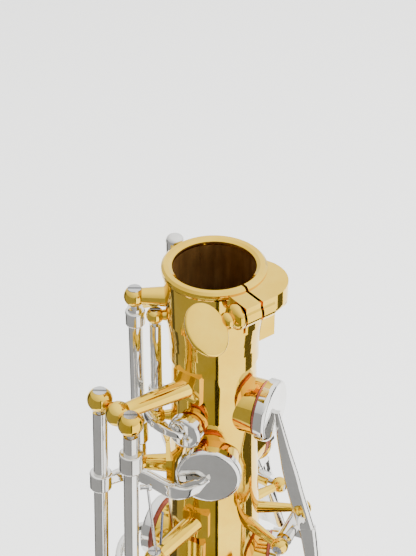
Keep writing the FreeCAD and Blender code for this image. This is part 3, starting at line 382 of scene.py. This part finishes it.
def copyOf(name):
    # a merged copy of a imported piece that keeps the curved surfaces' normals, largest solid first
    source = nodes[name]
    piece = source.copy()
    piece.data = source.data.copy()
    piece.parent = None
    piece.name = name + "_dressed"
    for key in list(piece.keys()):
        del piece[key]
    bpy.context.scene.collection.objects.link(piece)
    pickOnly(piece)
    bpy.ops.mesh.customdata_custom_splitnormals_clear()
    startEdit(piece, "VERT")
    bpy.ops.mesh.select_all(action="SELECT")
    bpy.ops.mesh.remove_doubles(threshold=mergeWithin)
    if name in severalSolids:
        bpy.ops.mesh.separate(type="LOOSE")
    endEdit()
    parts = [item for item in bpy.context.scene.objects if item.name.startswith(piece.name)]
    parts.sort(key=spanOf, reverse=True)
    found = cornerNormals(source.data)
    for part in parts:
        giveNormals(part.data, found)
    return parts


def dress(name):
    finishes = looks.get(name) or ([leather] if name.endswith("_pad") else [nickel, leather, pearl])
    if name not in copied:
        for place in nodes[name].material_slots:
            place.material = finishes[0]
        return [nodes[name]]
    parts = copyOf(name)
    for index, part in enumerate(parts):
        if len(parts) > 1:
            part.name = name + "_" + ["metal", "pad", "pearl"][min(index, 2)]
        finish = finishes[min(index, len(finishes) - 1)]
        part.data.materials.clear()
        finishPiece(part, finish, bodyOf[name])
        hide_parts(name)
    return parts


dressed = {name: dress(name) for name in sorted(nodes) if name not in rebuilt}
print("metalwork dressed:", sum(len(parts) for parts in dressed.values()), "pieces")


# The bore of the neck receiver is left bare below its lip

bore = {"within": 12.7, "below": 0.9}


def bareBore(piece):
    piece.data.materials.append(boreBrass)
    for face in piece.data.polygons:
        centre = face.center
        flat = Vector((centre.x, centre.y, 0))
        inside = flat.length < bore["within"] * mm and face.normal.dot(flat) < 0
        if inside and centre.z < -bore["below"] * mm:
            face.material_index = 1


bareBore(dressed["neck_receiver"][0])
print("bore bared")


# The neck clamp's thumb screw, with its oval wing. The stem is turned: (radius, height) from its tip

thumbScrew = {
    "angle": 7, "reach": 18.9, "depth": 4.4,
    "wingAt": -17.0, "wingTall": 16.0, "wingWide": 12.6, "wingThick": 1.7, "wingLean": 1.05,
    "roundEdge": 0.75, "flatArea": 50, "domeInset": 1.3, "domeRises": (0.16, 0.064),
    "stem": [(1.7, -3.2), (1.7, 5.85), (3.6, 5.86), (3.9, 6.15), (3.9, 7.0), (3.7, 7.6), (3.1, 8.2),
             (2.3, 8.55), (1.9, 8.8), (2.5, 9.4), (2.5, 10.2), (2.0, 10.9), (1.3, 11.4)],
}


def makeWing():
    deselectAll()
    bpy.ops.mesh.primitive_cylinder_add(vertices=112, radius=0.5 * mm, depth=thumbScrew["wingThick"] * mm)
    wing = bpy.context.active_object
    wing.name = "thumb_wing"
    startEdit(wing, "VERT")
    bpy.ops.mesh.select_all(action="SELECT")
    bpy.ops.transform.resize(value=(thumbScrew["wingWide"], thumbScrew["wingTall"], 1))
    endEdit()
    roundEdges(wing, thumbScrew["roundEdge"], segments=5)
    editFaces(wing, lambda face: face.area > thumbScrew["flatArea"] * mm * mm)
    for rise in thumbScrew["domeRises"]:
        bpy.ops.mesh.inset(thickness=thumbScrew["domeInset"] * mm, depth=rise * mm, use_individual=True)
    endEdit()
    return wing


def makeThumbScrew():
    out = outward(thumbScrew["angle"])
    across = Vector((-out.y, out.x, 0))
    line = (out * thumbScrew["reach"] + Vector((0, 0, -thumbScrew["depth"]))) * mm
    facing = Vector((out.x, out.y, thumbScrew["wingLean"]))
    wing = makeWing()
    stand(wing, line + across * (thumbScrew["wingAt"] * mm), facing, across)
    smooth(wing, degrees=30)
    screw = turnedPiece("thumb_screw", thumbScrew["stem"], line, -across)
    for piece in (wing, screw):
        finishPiece(piece, gold, "clamp_screw")
        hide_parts("clamp_screw")


makeThumbScrew()
print("thumb screw made")


# The rounded lip round the receiver's mouth, open at the clamp's slit

lip = {"middle": 13.85, "half": 1.6, "tall": 1.42, "depth": 0.84, "slitAngle": 7, "slitHalf": 2.2,
       "segments": 180, "ringSegments": 24}


def overSlit(face):
    turn = math.degrees(math.atan2(face.center.x, -face.center.y))
    return abs(turn - lip["slitAngle"]) < lip["slitHalf"]


def makeLip():
    deselectAll()
    bpy.ops.mesh.primitive_torus_add(major_segments=lip["segments"], minor_segments=lip["ringSegments"],
                                     major_radius=lip["middle"] * mm, minor_radius=lip["half"] * mm)
    piece = bpy.context.active_object
    piece.name = "receiver_lip"
    startEdit(piece, "VERT")
    bpy.ops.mesh.select_all(action="SELECT")
    bpy.ops.transform.resize(value=(1, 1, lip["tall"] / lip["half"]))
    bpy.ops.transform.translate(value=(0, 0, -lip["depth"] * mm))
    endEdit()
    editFaces(piece, overSlit)
    bpy.ops.mesh.delete(type="FACE")
    bpy.ops.mesh.select_mode(type="EDGE")
    bpy.ops.mesh.select_non_manifold()
    bpy.ops.mesh.fill_holes(sides=0)
    bpy.ops.mesh.select_all(action="SELECT")
    bpy.ops.mesh.normals_make_consistent(inside=False)
    endEdit()
    smooth(piece)
    finishPiece(piece, gold, "root")


makeLip()
print("lip made")


# The long needle spring of the high F sharp key, from the post below to a hook on the key's tube

longSpring = {"wire": 0.45, "foot": (31.4, -64, 90), "tip": (33.2, -66.5, 62), "sides": 20,
              "hookFrom": (34.2, -70.2, 62), "hookTo": (32.2, -65, 62), "hookRadius": 0.95, "hookSides": 28}


def makeLongSpring():
    foot, tip = spot(*longSpring["foot"]), spot(*longSpring["tip"])
    length = (tip - foot).length / mm
    wire = longSpring["wire"]
    profile = [(wire * 0.6, 0), (wire, 0.4), (wire, length * 0.7), (wire * 0.8, length),
               (wire * 0.3, length + 0.3)]
    spring = turnedPiece("high_fsharp_spring", profile, foot, tip - foot, longSpring["sides"])
    finishPiece(spring, steel, "root")


def makeSpringHook():
    start, end = spot(*longSpring["hookFrom"]), spot(*longSpring["hookTo"])
    reach = (end - start).length / mm
    wide = longSpring["hookRadius"]
    profile = [(wide * 0.8, 0), (wide, 0.3), (wide * 0.75, reach * 0.45), (wide * 0.75, reach * 0.6),
               (wide * 1.15, reach * 0.8), (wide * 0.8, reach)]
    hook = turnedPiece("high_fsharp_spring_hook", profile, start, end - start, longSpring["hookSides"])
    finishPiece(hook, nickel, bodyOf["high_fsharp_key"])


makeLongSpring()
makeSpringHook()
print("long spring made")


# Stage: floor, cards that the metal reflects, soft light and camera

def stageMaterial(name, colour, glow=0.0):
    material, tree, shader = newMaterial(name, roughness=0.9)
    shader.inputs["Base Color"].default_value = (*colour, 1)
    shader.inputs["Specular IOR Level"].default_value = 0
    if glow:
        shader.inputs["Emission Color"].default_value = (1, 0.99, 0.97, 1)
        shader.inputs["Emission Strength"].default_value = glow
    return material


floor = {"depth": 0.5885, "size": 60, "shade": (0.80, 0.80, 0.79)}


def makeFloor():
    deselectAll()
    bpy.ops.mesh.primitive_plane_add(size=floor["size"], location=(0, 0, -floor["depth"]))
    made = bpy.context.active_object
    made.name = "floor"
    made.data.materials.append(stageMaterial("paleFloor", floor["shade"]))


# cards stand in a ring round the near side and only show as reflections; turn 0 faces the camera
cardRing = {"radius": 0.34, "bottom": -0.58, "segments": 96, "cameraTurn": 30, "shade": (0.02, 0.02, 0.02)}
cards = {
    "leftGrey": {"turn": (-105, 3), "top": 0.06, "glow": 0.42},
    "midBlack": {"turn": (3, 12), "top": 0.10, "glow": 0},
    "rightWhite": {"turn": (12, 88), "top": 0.02, "glow": 2.8},
    "rightDark": {"turn": (88, 112), "top": 0.02, "glow": 0.12},
    "leftDark": {"turn": (-132, -105), "top": 0.02, "glow": 0.06},
}


def makeCard(name):
    card = cards[name]
    start, end = card["turn"]

    def offCard(face):
        turn = math.degrees(math.atan2(face.center.x, -face.center.y)) + cardRing["cameraTurn"]
        return not start <= (turn + 180) % 360 - 180 <= end

    deselectAll()
    bpy.ops.mesh.primitive_circle_add(vertices=cardRing["segments"], radius=cardRing["radius"],
                                      fill_type="NOTHING", location=(0, 0, cardRing["bottom"]))
    made = bpy.context.active_object
    made.name = name
    startEdit(made, "EDGE")
    bpy.ops.mesh.select_all(action="SELECT")
    bpy.ops.mesh.extrude_region_move(TRANSFORM_OT_translate={
        "value": (0, 0, card["top"] - cardRing["bottom"])})
    endEdit()
    editFaces(made, offCard)
    bpy.ops.mesh.delete(type="FACE")
    endEdit()
    made.data.materials.append(stageMaterial(name + "Card", cardRing["shade"], card["glow"]))
    made.visible_camera = False
    made.visible_diffuse = False
    made.visible_shadow = False


softbox = {"place": (0.9, -0.5, 1.7), "aim": (0, 0, -0.2), "power": 165, "size": 1.8}


def makeSoftbox():
    lamp = bpy.data.lights.new("topSoftbox", "AREA")
    lamp.energy = softbox["power"]
    lamp.shape = "DISK"
    lamp.size = softbox["size"]
    thing = bpy.data.objects.new("topSoftbox", lamp)
    thing.location = softbox["place"]
    aim = Vector(softbox["aim"]) - Vector(softbox["place"])
    thing.rotation_euler = aim.to_track_quat("-Z", "Y").to_euler()
    thing.visible_glossy = False
    bpy.context.scene.collection.objects.link(thing)


# the room is brighter up and to the right, and falls away to the left and behind
room = {"strength": 1.75, "sideFall": 0.8, "from": -0.6, "to": 1.3,
        "shades": [(0.0, (0.45, 0.45, 0.45)), (0.45, (0.80, 0.80, 0.79)), (0.62, (1.05, 1.05, 1.03)),
                   (1.0, (1.35, 1.35, 1.33))]}


def makeRoom():
    world = bpy.data.worlds.new("studioWorld")
    bpy.context.scene.world = world
    world.use_nodes = True
    tree = world.node_tree
    sky = tree.nodes["Background"]
    sky.inputs["Strength"].default_value = room["strength"]
    place = addNode(tree, "ShaderNodeTexCoord")
    split = addNode(tree, "ShaderNodeSeparateXYZ")
    tree.links.new(place.outputs["Generated"], split.inputs[0])
    blend = addNode(tree, "ShaderNodeMath", operation="MULTIPLY_ADD")
    blend.inputs[1].default_value = room["sideFall"]
    tree.links.new(split.outputs["X"], blend.inputs[0])
    tree.links.new(split.outputs["Z"], blend.inputs[2])
    height = spread(tree, blend.outputs[0], low=0, high=1, start=room["from"], end=room["to"])
    tree.links.new(ramp(tree, height, room["shades"]), sky.inputs["Color"])


camera = {"place": (-0.1994, -0.3417, 0.2725), "look": (0.4096, 0.7094, -0.5736), "lens": 107.87,
          "sensor": 36, "nearest": 0.01}


def makeCamera():
    lens = bpy.data.cameras.new("mainCamera")
    lens.lens = camera["lens"]
    lens.sensor_width = camera["sensor"]
    lens.sensor_fit = "AUTO"
    lens.clip_start = camera["nearest"]
    thing = bpy.data.objects.new("mainCamera", lens)
    thing.location = camera["place"]
    thing.rotation_euler = Vector(camera["look"]).to_track_quat("-Z", "Y").to_euler()
    bpy.context.scene.collection.objects.link(thing)
    bpy.context.scene.camera = thing


makeFloor()
for cardName in cards:
    makeCard(cardName)
makeRoom()
makeSoftbox()
makeCamera()
print("stage set")
